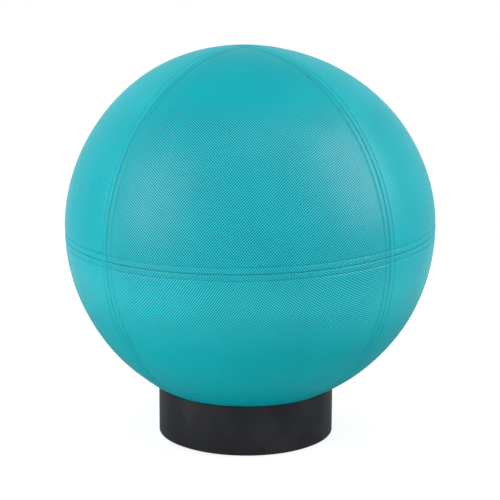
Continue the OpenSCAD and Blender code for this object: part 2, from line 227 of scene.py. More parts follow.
sample = grid_faces(3, 4)
print("a grid of 3 x 4 points:", len(sample), "faces, as a shell:", len(shell_faces(sample, 3 * 4)))

# %% Pieces
def new_piece(name, points, faces, uv=None):
    """A mesh object from arrays of points, four-sided faces and, for each point, a place on its cloth.
    It moves with the ball."""
    mesh = bpy.data.meshes.new(name)
    mesh.from_pydata(points.tolist(), [], faces.tolist())
    mesh.polygons.foreach_set("use_smooth", np.ones(len(faces), bool))
    if uv is not None:
        layer = mesh.uv_layers.new(name="cloth")
        layer.data.foreach_set("uv", uv[faces.ravel()].astype(np.float32).ravel())
    piece = bpy.data.objects.new(name, mesh)
    bpy.context.scene.collection.objects.link(piece)
    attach(piece, "ball")
    print(f"{name}: {len(points)} points, {len(faces)} faces")
    return piece


# %% [markdown]
# ## Helpers for node materials
#
# A material is a small graph of nodes. These short functions add one node each, so that a finish reads like
# a recipe. The first ones make a material and do sums, and the next ones give places, colours, patterns and
# relief.

# %% Materials, nodes and sums
def new_finish(name, color, roughness, **sockets):
    """A node material: its Principled shader with the plain values set on the shader's own sockets."""
    finish = bpy.data.materials.new(name)
    finish.use_nodes = True
    shader = finish.node_tree.nodes["Principled BSDF"]
    shader.inputs["Base Color"].default_value = (*color, 1)
    shader.inputs["Roughness"].default_value = roughness
    for socket, value in sockets.items():
        shader.inputs[socket.replace("_", " ")].default_value = value
    return finish, finish.node_tree, shader


def add(tree, kind, **settings):
    """Adds a node and sets its settings."""
    made = tree.nodes.new(kind)
    for setting, value in settings.items():
        setattr(made, setting, value)
    return made


def feed(tree, socket, value):
    """Sets a socket to a number, or wires another node's output to it."""
    if isinstance(value, bpy.types.NodeSocket):
        tree.links.new(value, socket)
    else:
        socket.default_value = value


def calc(tree, operation, *values):
    """One Math node, and its result."""
    made = add(tree, "ShaderNodeMath", operation=operation)
    for socket, value in zip(made.inputs, values):
        feed(tree, socket, value)
    return made.outputs[0]


def ranged(tree, value, low, high, to_low=0.0, to_high=1.0):
    """Stretches a value's range, with a soft step."""
    made = add(tree, "ShaderNodeMapRange", interpolation_type="SMOOTHSTEP")
    for socket, x in zip(made.inputs, (value, low, high, to_low, to_high)):
        feed(tree, socket, x)
    return made.outputs[0]


# %% Places, colours, patterns and relief
def object_place(tree):
    """The place on the piece in metres, which stays with the piece as it moves."""
    return add(tree, "ShaderNodeTexCoord").outputs["Object"]


def cloth_place(tree):
    """The place on the flat cloth in metres, from the piece's own UV map."""
    return add(tree, "ShaderNodeUVMap", uv_map="cloth").outputs["UV"]


def split(tree, place):
    """The X, Y and Z of a place."""
    made = add(tree, "ShaderNodeSeparateXYZ")
    tree.links.new(place, made.inputs[0])
    return made.outputs


def mixed(tree, share, first, second):
    """A colour between two colours, by a share from 0 to 1."""
    made = add(tree, "ShaderNodeMix", data_type="RGBA")
    for name, value in zip(("Factor_Float", "A_Color", "B_Color"), (share, first, second)):
        socket = next(s for s in made.inputs if s.identifier == name)
        feed(tree, socket, value if not isinstance(value, tuple) else (*value, 1))
    return next(s for s in made.outputs if s.identifier == "Result_Color")


def wave(tree, kind, value, pitch):
    """A SINE or COSINE wave between -1 and 1 that repeats at every pitch."""
    return calc(tree, kind, calc(tree, "MULTIPLY", value, 2 * math.pi / pitch))


def grain(tree, place, scale, detail=2.0, roughness=0.5):
    """Soft noise that repeats nowhere, about 0.5 on average."""
    made = add(tree, "ShaderNodeTexNoise")
    feed(tree, made.inputs["Vector"], place)
    made.inputs["Scale"].default_value = scale
    made.inputs["Detail"].default_value = detail
    made.inputs["Roughness"].default_value = roughness
    return made.outputs["Fac"]


def raised(tree, shader, height, distance):
    """Bump: tips the shading normal as if the surface had this height, in metres."""
    bump = add(tree, "ShaderNodeBump")
    bump.inputs["Strength"].default_value = 1.0
    bump.inputs["Distance"].default_value = distance
    feed(tree, bump.inputs["Height"], height)
    tree.links.new(bump.outputs["Normal"], shader.inputs["Normal"])


# %% [markdown]
# ## The spacer mesh
#
# The cover is spacer mesh: two knitted faces held apart by fine yarns, so it is thick, springy and full of
# small holes. The outer face shows a staggered lattice of them, 4 to 5 mm from row to row. Real ones need
# millions of faces, so the lattice is drawn in the material. The product of two cosine waves peaks at every
# crossing of a diamond lattice, which is just where the holes are. It darkens the holes with painted shade
# and dents them with Bump.
#
# The front cloth is a little deeper in colour than the side cloth, most of all at the crown. The side cloth is
# partly its own colour and partly painted sheen, lighter as cloth looks at a glancing view. A band below the
# equator is painted paler, a painted highlight, and the part underneath is painted deeper, as painted shade.
# The crown tones are painted too, set against the gloss that falls on the top. So there are two cloths, each
# with a tone of its own at the crown, and the height above the floor mixes the tones.
#
# The holes' dark is painted shade. They are clear in the middle of a panel and faint at the crown and
# underneath, and beside the upright seams, where the cloth is pressed. Where they fade, each place nears the
# mean of hole and yarn, so the colour holds.

# %% The mesh cloth's finish
HOLE_ACROSS = 4.1 * MM
HOLE_UP = 4.95 * MM
HOLE_FROM, HOLE_TO = -0.35, 0.65  # where on the lattice's waves a hole begins and is full
HOLE_MEAN = 0.38
HOLE_DEPTH = 0.2 * MM
MESH_FRONT = (0.022, 0.710, 0.820)
# The side cloth: partly its own colour, partly painted sheen, lighter as cloth looks at a glancing view
MESH_SIDE_PAINTED_SHEEN = (0.004, 0.790, 0.900)
# Painted highlight: a paler band just below the equator
MESH_PAINTED_HIGHLIGHT = (0.050, 0.890, 0.990)
# Painted shade: the cloth underneath is painted deeper in colour
MESH_PAINTED_UNDER_SHADE = (0.000, 0.730, 0.805)
# Painted tones at the crown, set against the gloss that falls on the top
MESH_PAINTED_CROWN = (0.000, 0.735, 0.845)
MESH_SIDE_PAINTED_CROWN = (0.015, 0.860, 0.970)
# Painted shade inside the holes, and the darker grain of the yarn and of broad wear
MESH_DARK_AND_HOLE_SHADE = (0.000, 0.060, 0.080)
YARN_SHADE, WORN_SHADE = 0.35, 0.18  # how much the yarn's grain and broad wear darken the knit
YARN_ROUGHNESS, HOLE_ROUGHNESS = 0.28, 0.9
# Heights above the floor, with the ball in its seat, between which a tone gives way to the next one up: the
# painted shade underneath, the painted highlight band and the painted crown
PAINTED_UNDER_SHADE_ENDS, PAINTED_HIGHLIGHT_ENDS, PAINTED_CROWN_STARTS = (0.18, 0.29), (0.26, 0.36), (0.515, 0.575)
# Heights between which the holes come out and fade, and distances from a seam between which they come out
HOLES_START, HOLES_END, FROM_SEAM = (0.210, 0.255), (0.525, 0.580), (0.004, 0.058)
FAINT_UNDER, FAINT_OVER, FAINT_BY_SEAM = 0.25, 0.22, 0.3  # what is left of them where they are faint


def mesh_cloth(name, light, crown, crisp):
    """light and crown are the yarn's colours on the ball's side and top, and crisp is how clearly the holes
    show.
    crown is a painted tone, set against the gloss that falls on the top, and the height also mixes in a painted
    highlight band below the equator and painted shade underneath. A hole is where
    cos(2 pi x / across) cos(2 pi y / up) is high; it takes painted shade, and it fades as mean + (hole - mean)
    clear."""
    finish, tree, shader = new_finish(name, light, 0.5, Specular_IOR_Level=0.1)
    cloth, up = split(tree, cloth_place(tree)), split(tree, object_place(tree))["Z"]
    across, along = wave(tree, "COSINE", cloth["X"], HOLE_ACROSS), wave(tree, "COSINE", cloth["Y"], HOLE_UP)
    hole = ranged(tree, calc(tree, "MULTIPLY", across, along), HOLE_FROM, HOLE_TO)
    under = ranged(tree, up, *HOLES_START, FAINT_UNDER * crisp, crisp)
    over = ranged(tree, up, *HOLES_END, 1.0, FAINT_OVER)
    from_seam = add(tree, "ShaderNodeAttribute", attribute_name="from_seam").outputs["Fac"]
    by_seam = ranged(tree, from_seam, *FROM_SEAM, FAINT_BY_SEAM, 1.0)
    clear = calc(tree, "MULTIPLY", calc(tree, "MULTIPLY", under, over), by_seam)
    faded = calc(tree, "MULTIPLY", calc(tree, "SUBTRACT", hole, HOLE_MEAN), clear)
    hole = calc(tree, "ADD", faded, HOLE_MEAN)
    yarn = grain(tree, object_place(tree), 900, 3)
    worn = grain(tree, object_place(tree), 14, 3)
    # Painted crown tone, set against the gloss on the top
    knit = mixed(tree, ranged(tree, up, *PAINTED_CROWN_STARTS), light, crown)
    # Painted highlight: the paler band below the equator
    knit = mixed(tree, ranged(tree, up, *PAINTED_HIGHLIGHT_ENDS), MESH_PAINTED_HIGHLIGHT, knit)
    # Painted shade: the cloth underneath is painted deeper
    knit = mixed(tree, ranged(tree, up, *PAINTED_UNDER_SHADE_ENDS), MESH_PAINTED_UNDER_SHADE, knit)
    knit = mixed(tree, calc(tree, "MULTIPLY", yarn, YARN_SHADE), knit, MESH_DARK_AND_HOLE_SHADE)
    knit = mixed(tree, calc(tree, "MULTIPLY", worn, WORN_SHADE), knit, MESH_DARK_AND_HOLE_SHADE)
    # The holes take painted shade
    tree.links.new(mixed(tree, hole, knit, MESH_DARK_AND_HOLE_SHADE), shader.inputs["Base Color"])
    feed(tree, shader.inputs["Roughness"], ranged(tree, hole, 0, 1, YARN_ROUGHNESS, HOLE_ROUGHNESS))
    raised(tree, shader, calc(tree, "SUBTRACT", calc(tree, "MULTIPLY", yarn, 0.25), hole), HOLE_DEPTH)
    return finish


MESH_CLOTH = mesh_cloth("cover_mesh", MESH_FRONT, MESH_PAINTED_CROWN, 1.0)
# The side cloth's lighter tone and fainter holes are partly painted sheen
SIDE_CLOTH_PAINTED_SHEEN = mesh_cloth("cover_mesh_side_painted_sheen", MESH_SIDE_PAINTED_SHEEN, MESH_SIDE_PAINTED_CROWN, 0.55)
print("mesh cloth:", len(MESH_CLOTH.node_tree.nodes), "nodes")

# %% [markdown]
# ## The grid of a panel
#
# Each panel covers one eighth of the ball and has a seam on all three sides. A latitude and longitude grid
# would pinch at the pole, so the panel is three square patches that meet in its middle, as on a cube blown
# up to a ball. Near a seam the lines of points run parallel to it and close together, because the turned-in
# edge and the stitching need them there. Further in they spread out and bend to meet the neighbouring
# patch.

# %% Lines of points and patches
SEAM_HALF = 0.15 * MM
STITCH_AT = 10 * MM
BORDER = BALL_R * math.pi / 4  # a patch ends halfway between two seams
STRAIGHT = 30 * MM  # up to here from a seam, the lines run parallel to it
WIDE_LINES = 46


def panel_lines():
    """Distances from a seam at which a panel has lines of points: close ones at first, then even steps."""
    near = np.array([
        0.15, 0.35, 0.7, 1.2, 1.8, 2.5, 3.2, 3.9, 4.5, 5.1, 5.7, 6.3, 6.9, 7.5, 8.1, 8.7, 9.2, 9.6, 10,
        10.4, 10.8, 11.3, 11.9, 12.6, 13.5, 14.7, 16.2, 18, 20, 22.3, 25, 28,
    ]) * MM
    return np.concatenate([near, near[-1] + (BORDER - near[-1]) * np.linspace(0, 1, WIDE_LINES + 1)[1:]])


def octant_patches():
    """Unit directions over one eighth of a ball, as three patches, and their faces.
    On the patch about axis k, x_i = sin(a) (1 - x_j^2)^w(a) and x_j = sin(b) (1 - x_i^2)^w(b), where a and
    b are distances over the radius and w goes from 0 at the seam to 1/2 at the border. There x_i = x_k, so
    patches meet. x_i and x_j need each other, so both are worked out again and again until they stand
    still."""
    a = panel_lines() / BALL_R
    w = smooth(a * BALL_R, STRAIGHT, BORDER) / 2
    sin_i, sin_j = np.meshgrid(np.sin(a), np.sin(a), indexing="ij")
    w_i, w_j = np.meshgrid(w, w, indexing="ij")
    x_i, x_j = sin_i, sin_j
    for _ in range(60):
        x_i, x_j = sin_i * (1 - x_j**2) ** w_i, sin_j * (1 - x_i**2) ** w_j
    x_k = np.sqrt(1 - x_i**2 - x_j**2)
    patch = np.stack([x_i, x_j, x_k], -1).reshape(-1, 3)
    directions = np.concatenate([np.roll(patch, turn, axis=1) for turn in range(3)])
    faces = np.concatenate([grid_faces(len(a), len(a)) + turn * len(patch) for turn in range(3)])
    first, faces = welded(directions, faces)
    return directions[first], faces


OCTANT, OCTANT_FACES = octant_patches()
rim_count = len(rim_edges(OCTANT_FACES)[0])
print("one panel's grid:", len(OCTANT), "points,", len(OCTANT_FACES), "faces,", rim_count, "edges on the rim")

# %% [markdown]
# ## The cover's relief
#
# At a seam the cloth turns in round a small radius. Ten millimetres from it a row of topstitching holds the
# seam allowance flat and presses a groove, which is deepest along the equator. The thread also gathers the
# cloth a little, which leaves a wide hollow and soft puckers. Each of these is a height over the distance
# from a seam, so the relief is a sum of simple curves. At the back the cloth parts for the zip: there the
# edge lies 6.3 mm from the seam instead of on it.

# %% The zip's slot
SLOT_HALF = 6.3 * MM
SLOT_ENDS = (40.1, 41.6)  # degrees from the zip's middle between which the slot closes
PARTED_UP_TO = 60 * MM


def seam_distance(directions):
    """Distances along the ball from the three seam planes x = 0, y = 0 and z = 0."""
    return BALL_R * np.arcsin(np.clip(directions, 0, 1))


def from_middle(directions):
    """Degrees round the equator from the octant's middle, which is halfway between its x and y axes."""
    return np.degrees(np.abs(np.arctan2(directions[:, 1], directions[:, 0]) - math.pi / 4))


def slot_open(directions):
    """How far the zip's slot is open, from 0 to 1."""
    return until(from_middle(directions), *SLOT_ENDS)


def parted(directions):
    """Slides the points near the equator seam away from it, to open the zip's slot.
    A height z = sin(s / R) becomes sin((s + open (1 - s / 60 mm)^2) / R)."""
    s = seam_distance(directions)[:, 2]
    s = s + (SLOT_HALF - SEAM_HALF) * slot_open(directions) * np.clip(1 - s / PARTED_UP_TO, 0, 1) ** 2
    level = directions[:, :2] / np.linalg.norm(directions[:, :2], axis=1, keepdims=True)
    return np.concatenate([level * np.cos(s / BALL_R)[:, None], np.sin(s / BALL_R)[:, None]], 1)


slot_middle = parted(np.array([[1, 1, 0]]) / math.sqrt(2))
slot_half = float(seam_distance(slot_middle)[0, 2])
print("in its middle the slot opens by", round(slot_half / MM, 2), "mm on each side")

# %% Relief of the outer face
EDGE_R, EDGE_DEPTH = 2.4 * MM, 1.6 * MM
SLOT_EDGE_R, SLOT_EDGE_DEPTH = 1.5 * MM, 1.1 * MM
ROW_W = 1.0 * MM
ROW_DEPTHS = (0.75 * MM, 0.75 * MM, 1.3 * MM)  # beside the two upright seams and the equator seam
HOLLOW_W, HOLLOW_DEPTH = 4 * MM, 0.3 * MM
PUCKER_AT, PUCKER_W, PUCKER_DEPTH = 13 * MM, 8 * MM, 0.07 * MM


def turned_edge(distance, radius, depth):
    """A quarter-round: depth (1 - sqrt(1 - (1 - d / r)^2)) within the radius."""
    t = np.clip(1 - distance / radius, 0, 1)
    return depth * (1 - np.sqrt(1 - t * t))


def cover_height(directions, slotted):
    """Height of a panel's outer face over the ball's radius; it is never above 0.
    It sums a turned edge, a stitched groove in a wide hollow, and puckers for each of the three seams. Two
    sine waves of 13 and 21 mm along the seam, the second one drifting, make the puckers uneven."""
    s = seam_distance(directions)
    height = np.zeros(len(directions))
    for seam in range(3):
        d = s[:, seam]
        along = BALL_R * np.arctan2(directions[:, seam - 1], directions[:, seam - 2]) / MM
        open_ = slot_open(directions) if slotted and seam == 2 else np.zeros(len(d))
        edge = d - SEAM_HALF - (SLOT_HALF - SEAM_HALF) * open_
        height -= (1 - open_) * turned_edge(edge, EDGE_R, EDGE_DEPTH)
        height -= open_ * turned_edge(edge, SLOT_EDGE_R, SLOT_EDGE_DEPTH)
        height -= ROW_DEPTHS[seam] * bell(d, STITCH_AT, ROW_W)
        height -= HOLLOW_DEPTH * bell(d, STITCH_AT, HOLLOW_W)
        ripple = 2 + np.sin(along / 2.1 + seam) + np.sin(along / 3.3 + 2 * np.sin(along / 19))
        height -= PUCKER_DEPTH * ripple * bell(d, PUCKER_AT, PUCKER_W)
    return height


print("deepest relief:", round(float(cover_height(OCTANT, False).min()) / MM, 2), "mm")

# %% The inner face
# It steps out over what lies behind it. Each pair says where a step ends: EDGE in distances from the seam,
# END in degrees from the zip's middle. The guard's edges are those on the upper (True) and the lower panel
OVER_LINING, LINING_EDGE = 0.85 * MM, (12.3 * MM, 13.3 * MM)
OVER_ZIP_TAPE, ZIP_TAPE_EDGE, ZIP_TAPE_END = 3.87 * MM, (17.3 * MM, 18.6 * MM), (42.3, 42.9)
GUARD_EDGES = {True: (14.2 * MM, 15.2 * MM), False: (24.3 * MM, 25.3 * MM)}
GUARD_END = (41.1, 41.7)


def cover_inside(directions, slotted, upper):
    """Radius of a panel's inner face: the cloth's own inside, and further out over tapes and guard."""
    s = seam_distance(directions)
    inside = MESH_IN + OVER_LINING * until(s.min(1), *LINING_EDGE)
    if slotted:
        angle = from_middle(directions)
        guard = until(angle, *GUARD_END) * until(s[:, 2], *GUARD_EDGES[upper])
        zip_tape = until(angle, *ZIP_TAPE_END) * until(s[:, 2], *ZIP_TAPE_EDGE)
        inside = np.maximum(inside, MESH_IN + OVER_LINING * guard)
        inside = np.maximum(inside, MESH_IN + OVER_ZIP_TAPE * zip_tape)
    return inside


thinnest = BALL_R - cover_inside(OCTANT, True, True).max()
print("thinnest cloth:", round(float(thinnest) / MM, 2), "mm, over the zip's tape")

# %% [markdown]
# ## The eight panels
#
# One function makes all eight: the octant is turned to its side of the ball and mirrored for the lower
# half. A mirror flips the faces inside out, so their order is reversed there. The cloth map gives every
# point its place on the flat cloth in metres: the distance from the panel's middle line and the height
# above the equator. Every panel was cut from the roll at its own small angle, so the lattice is turned a
# little differently on each.

# %% Panels
# Side, its direction from +X, and the cloth's turn on the upper and the lower panel, in degrees
PANELS = [
    ("front", 270, 5.0, 7.0),
    ("right", 0, -3.0, 2.5),
    ("back", 90, 1.5, -2.0),
    ("left", 180, -2.0, 4.0),
]
MIDDLE_UP = math.degrees(math.asin(1 / math.sqrt(3)))  # how high the middle of an octant stands
SIDE_STRETCH = 0.8
PRESSED_LESS = 30 * MM  # the equator seam presses the cloth's holes as if it lay this much further off


def placed(directions, side_angle, upper):
    """Turns an octant's directions to its side of the upright cover, mirrored for the lower half."""
    out = directions @ turned("z", side_angle - 45).T
    return out if upper else out * np.array([1, 1, -1])


def cloth_map(directions, cloth_turn):
    """Place on the flat cloth, in metres from the panel's middle, turned by the angle it was cut at.
    With a point's share r to the right and h upwards of the middle, across is R sin(0.8 asin(r)) / 0.8,
    because the cloth is stretched a little towards the sides, and up is R asin(h / sqrt(1 - r^2 / 2))."""
    seen = directions @ (turned("y", MIDDLE_UP) @ turned("z", -45)).T
    right, high = seen[:, 1], seen[:, 2]
    across = BALL_R * np.sin(SIDE_STRETCH * np.arcsin(right)) / SIDE_STRETCH
    up = BALL_R * np.arcsin(np.clip(high / np.sqrt(1 - right**2 / 2), -1, 1))
    c, s = math.cos(math.radians(cloth_turn)), math.sin(math.radians(cloth_turn))
    return np.stack([c * across - s * up, s * across + c * up], 1)


def cover_panel(name, side, side_angle, cloth_turn, upper):
    """One panel as a closed shell: its outer face lies at R + height, its inner face at the inside's
    radius, and both share the octant's grid. Each point also keeps its distance from the nearest seam, for
    the material."""
    slotted = side == "back"
    flat = parted(OCTANT) if slotted else OCTANT
    aimed = placed(flat, side_angle, upper)
    outer = on_ball(aimed, BALL_R + cover_height(flat, slotted))
    inner = on_ball(aimed, cover_inside(flat, slotted, upper))
    faces = shell_faces(OCTANT_FACES, len(OCTANT))
    faces = faces if upper else faces[:, ::-1]
    uv = cloth_map(OCTANT, cloth_turn)
    panel = new_piece(name, np.concatenate([outer, inner]), faces, np.concatenate([uv, uv]))
    # Side panels take the cloth with the painted sheen
    panel.data.materials.append(MESH_CLOTH if side in ("front", "back") else SIDE_CLOTH_PAINTED_SHEEN)
    from_seam = (seam_distance(OCTANT) + (0, 0, PRESSED_LESS)).min(1)
    kept = panel.data.attributes.new("from_seam", "FLOAT", "POINT")
    kept.data.foreach_set("value", np.tile(from_seam, 2).astype(np.float32))
    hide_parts(name)


for side, side_angle, upper_turn, lower_turn in PANELS:
    cover_panel(f"cover_upper_{side}", side, side_angle, upper_turn, True)
    cover_panel(f"cover_lower_{side}", side, side_angle, lower_turn, False)

# %% [markdown]
# ## The topstitching
#
# Each panel has a row of stitches along each of its three sides. A stitch is a short plump bead of thread
# that dips into the cloth at both ends. A dashed pattern in the material would look flat in the groove, so
# they are real beads. There are about 2,800, so each has only a few dozen faces, and all of one panel's
# stitches are one mesh. A single bead is worked out once and copied along the rows by numpy. The thread is
# matt, so that the rows read as turquoise lines and not as grey ones.

# %% Thread finish
def thread_finish():
    """Twisted polyester: fine grain in the colour and in the bump."""
    finish, tree, shader = new_finish("thread", (0.004, 0.40, 0.48), 0.6, Specular_IOR_Level=0.12)
    twist = grain(tree, object_place(tree), 2500, 2)
    color = mixed(tree, twist, (0.002, 0.32, 0.39), (0.006, 0.48, 0.57))
    tree.links.new(color, shader.inputs["Base Color"])
    raised(tree, shader, twist, 0.05 * MM)
    return finish


THREAD = thread_finish()
print("thread:", len(THREAD.node_tree.nodes), "nodes")

# %% One stitch
STITCH_PITCH = 4.0 * MM
STITCH_LENGTH = 3.1 * MM
THREAD_R = 0.32 * MM
BEAD_RINGS, BEAD_SIDES = 5, 6
BEAD_END = 0.985  # the last ring stands just short of the point, where the bead would have no width


def bead():
    """One stitch along x: rings of radius r sqrt(1 - t^4) about a line that arches up by r (1/2 - t^2),
    where t is x over half the length. Two four-sided faces close each end."""
    t = np.linspace(-1, 1, BEAD_RINGS) * BEAD_END
    turn = np.arange(BEAD_SIDES) * math.pi / 3
    ring = THREAD_R * np.sqrt(1 - t**4)
    points = np.stack([
        np.repeat(t * STITCH_LENGTH / 2, BEAD_SIDES),
        np.outer(ring, np.cos(turn)).ravel(),
        np.outer(ring, np.sin(turn)).ravel() + np.repeat(THREAD_R * (0.5 - t**2), BEAD_SIDES),
    ], 1)
    ends = np.array([[0, 1, 2, 3], [0, 3, 4, 5], [27, 26, 25, 24], [29, 28, 27, 24]])
    return points, np.concatenate([grid_faces(BEAD_RINGS, BEAD_SIDES, closed=True), ends])


BEAD, BEAD_FACES = bead()
print("one stitch:", len(BEAD), "points,", len(BEAD_FACES), "faces")

# %% Rows of stitches
THREAD_LIFT = 0.12 * MM
THREAD_SWAY = math.radians(3)
ROW_START = (2.5 * MM, 2.5 * MM, 0.5 * MM)  # the two upright rows start clear of the equator row


def stitch_row(seam):
    """Directions of a row's stitches, and of the row at each: the small circle x_seam = sin(10 mm / R)."""
    rise = math.sin(STITCH_AT / BALL_R)
    reach = math.sqrt(1 - rise * rise)
    start = ROW_START[seam] / BALL_R
    t = np.arange(start + STITCH_PITCH / 2 / BALL_R, math.pi / 2 - start, STITCH_PITCH / BALL_R)
    place, along = np.zeros((len(t), 3)), np.zeros((len(t), 3))
    place[:, seam], place[:, seam - 2], place[:, seam - 1] = rise, reach * np.cos(t), reach * np.sin(t)
    along[:, seam - 2], along[:, seam - 1] = -np.sin(t), np.cos(t)
    return place, along


def stitched_panel(name, side, side_angle, upper):
    """Copies the bead along a panel's three rows: a point is place (radius + z) + along x + across y, where
    each stitch's along and across are swayed by a few random degrees. Gives the number of stitches."""
    rng = np.random.default_rng(len(name) * 31 + side_angle)
    rows = [stitch_row(seam) for seam in range(3)]
    place = np.concatenate([r[0] for r in rows])
    along = np.concatenate([r[1] for r in rows])
    radius = BALL_R + cover_height(place, side == "back") + THREAD_LIFT
    across = np.cross(place, along)
    sway = rng.normal(0, THREAD_SWAY, len(place))[:, None]
    c, s = np.cos(sway), np.sin(sway)
    along, across = along * c + across * s, across * c - along * s
    x, y, z = BEAD[None, :, :1], BEAD[None, :, 1:2], BEAD[None, :, 2:]
    beads = x * along[:, None] + y * across[:, None] + z * place[:, None]
    spots = (place[:, None] * radius[:, None, None] + beads).reshape(-1, 3)
    length = np.linalg.norm(spots, axis=1)
    points = on_ball(placed(spots / length[:, None], side_angle, upper), length)
    faces = (BEAD_FACES[None] + np.arange(len(place))[:, None, None] * len(BEAD)).reshape(-1, 4)
    row = new_piece(name, points, faces[:, ::-1] if upper else faces)
    row.data.materials.append(THREAD)
    return len(place)


count = 0
for side, side_angle, _, _ in PANELS:
    count += stitched_panel(f"stitching_upper_{side}", side, side_angle, True)
    count += stitched_panel(f"stitching_lower_{side}", side, side_angle, False)
print("stitches in all:", count)

# %% [markdown]
# ## The woven tapes inside the cover
#
# Behind every seam lies a woven tape, and a flap guards the ball from the zip. All of them are strips: a
# flat cross-section carried along an arc. A bevelled curve could do this too, but it wouldn't follow the
# settled ball, so each strip is a grid whose points pass through the same function as the cover's. The
# zip's own two tapes also have a bead along the edge that the teeth grip.

# %% Woven tape finish
def tape_finish(name, light, dark, rib):
    """Plain weave: ribs across the tape and fine warp lines along it, drawn with two sine waves."""
    finish, tree, shader = new_finish(name, light, 0.8, Sheen_Weight=0.2)
    cloth = split(tree, cloth_place(tree))
    warp, weft = wave(tree, "SINE", cloth["X"], rib), wave(tree, "SINE", cloth["Y"], rib * 1.4)
    weave = ranged(tree, calc(tree, "MULTIPLY", warp, weft), -0.8, 0.8)
    tree.links.new(mixed(tree, weave, dark, light), shader.inputs["Base Color"])
    raised(tree, shader, weave, 0.15 * MM)
    return finish


SEAM_TAPE = tape_finish("woven_tape", (0.03, 0.33, 0.38), (0.01, 0.16, 0.19), 1.2 * MM)
ZIP_TAPE = tape_finish("zip_tape", (0.03, 0.38, 0.44), (0.01, 0.20, 0.25), 0.8 * MM)
print("tape finishes:", SEAM_TAPE.name, ZIP_TAPE.name)

# %% Strips
STRIP_STEP = 5 * MM
TAPE_CLEAR = 0.02 * MM  # a hair's gap to what lies above and below a tape


def strip(name, arcs, outline, finish):
    """Carries a closed outline of (height across, radius) along arcs of the equator, each turned into place.
    arcs is a list of (start angle, end angle, matrix). A point is (r cos h cos t, r cos h sin t, r sin h),
    where the angle h is asin(height / the zip tape's radius)."""
    height, radius = np.array(outline).T
    h = np.arcsin(height / TAPE_MID)[None]
    girth = np.concatenate([[0], np.cumsum(np.hypot(np.diff(height), np.diff(radius)))])
    caps = ladder_faces(len(height))
    points, faces, uv, base = [], [], [], 0
    for start, end, matrix in arcs:
        steps = max(8, int((end - start) * BALL_R / STRIP_STEP))
        t = np.linspace(start, end, steps)[:, None]
        level = np.stack([np.cos(h) * np.cos(t), np.cos(h) * np.sin(t), np.sin(h) + 0 * t], -1)
        points.append(on_ball(level.reshape(-1, 3) @ matrix.T, np.tile(radius, steps)))
        faces.append(grid_faces(steps, len(height), closed=True)[:, ::-1] + base)
        faces.append(caps + base)
        faces.append(caps[:, ::-1] + base + (steps - 1) * len(height))
        uv.append(np.stack([np.tile(girth, steps), np.repeat(t.ravel() * BALL_R, len(height))], 1))
        base += steps * len(height)
    piece = new_piece(name, np.concatenate(points), np.concatenate(faces), np.concatenate(uv))
    piece.data.materials.append(finish)
    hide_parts(name)
    return piece


def flat_outline(low, high, lines):
    """A flat band's outline: along its outer face and back along its inner one. It is half as thick at its
    two edges."""
    inner, outer = MESH_IN + TAPE_CLEAR, MESH_IN + LINING_T - TAPE_CLEAR
    h = np.linspace(low, high, lines)
    ease = np.where((h == low) | (h == high), 0.25 * (outer - inner), 0)
    return np.concatenate([np.stack([h, outer - ease], 1), np.stack([h[::-1], (inner + ease)[::-1]], 1)])


# %% Seam tapes
LINING_W = 24 * MM
CROSSING = 13 * MM  # the upright tapes stop this short of the equator and of the pole, where others cross
lining = flat_outline(-LINING_W / 2, LINING_W / 2, 7)
low = math.asin(CROSSING / MESH_IN)
high = math.pi / 2 - low
for half, sign in (("upper", 1), ("lower", -1)):
    arcs = [(low, high, turned("z", angle) @ turned("x", 90 * sign)) for angle in (45, 135, 225, 315)]
    piece = strip(f"seam_tapes_{half}", arcs, lining, SEAM_TAPE)

# %% Equator tape and zip guard
GUARD_HALF = 40.8  # degrees to each side of the zip's middle
GUARD_LOW, GUARD_HIGH, GUARD_W = -24 * MM, 14 * MM, 38 * MM
TAPE_GAP = 0.2  # degrees between the guard's end and the tape's
TO_BACK_MIDDLE = turned("z", 90)

free = math.radians(GUARD_HALF + TAPE_GAP)
arcs = [(free, 2 * math.pi - free, TO_BACK_MIDDLE)]
piece = strip("equator_tape", arcs, lining, SEAM_TAPE)

arcs = [(-math.radians(GUARD_HALF), math.radians(GUARD_HALF), TO_BACK_MIDDLE)]
piece = strip("zip_guard", arcs, flat_outline(GUARD_LOW, GUARD_HIGH, 9), SEAM_TAPE)

# %% Zip tapes
ZIP_TAPE_HALF = 42  # degrees to each side of the zip's middle
# Distance from the equator and half the thickness, in mm: the bead that the teeth grip, then the tape
ZIP_TAPE_FACE = np.array([
    (2.3, 0.25), (2.5, 0.42), (2.8, 0.45), (3.15, 0.42), (3.3, 0.34),
    (6, 0.34), (12, 0.34), (16.8, 0.34), (17, 0.25),
])


def zip_tape_outline(sign):
    """The tape's section, out along one face and back along its mirror image. The lower one is flipped."""
    section = np.concatenate([ZIP_TAPE_FACE, ZIP_TAPE_FACE[::-1] * np.array([1, -1])]) * MM
    section[:, 1] += TAPE_MID
    return section if sign > 0 else (section * np.array([-1, 1]))[::-1]


for half, sign in (("upper", 1), ("lower", -1)):
    arcs = [(-math.radians(ZIP_TAPE_HALF), math.radians(ZIP_TAPE_HALF), TO_BACK_MIDDLE)]
    piece = strip(f"zip_tape_{half}", arcs, zip_tape_outline(sign), ZIP_TAPE)

# %% [markdown]
# ## The inflated ball
#
# The bladder is soft vinyl, blown up to fill the cover. Its mould leaves wide rings around the valve, which
# are shallow waves in the radius. A ready-made sphere would need a hole cut into it, with ragged faces
# round it. So the bladder is worked out about the valve's axis, and its first ring is the hole's clean
# circle.

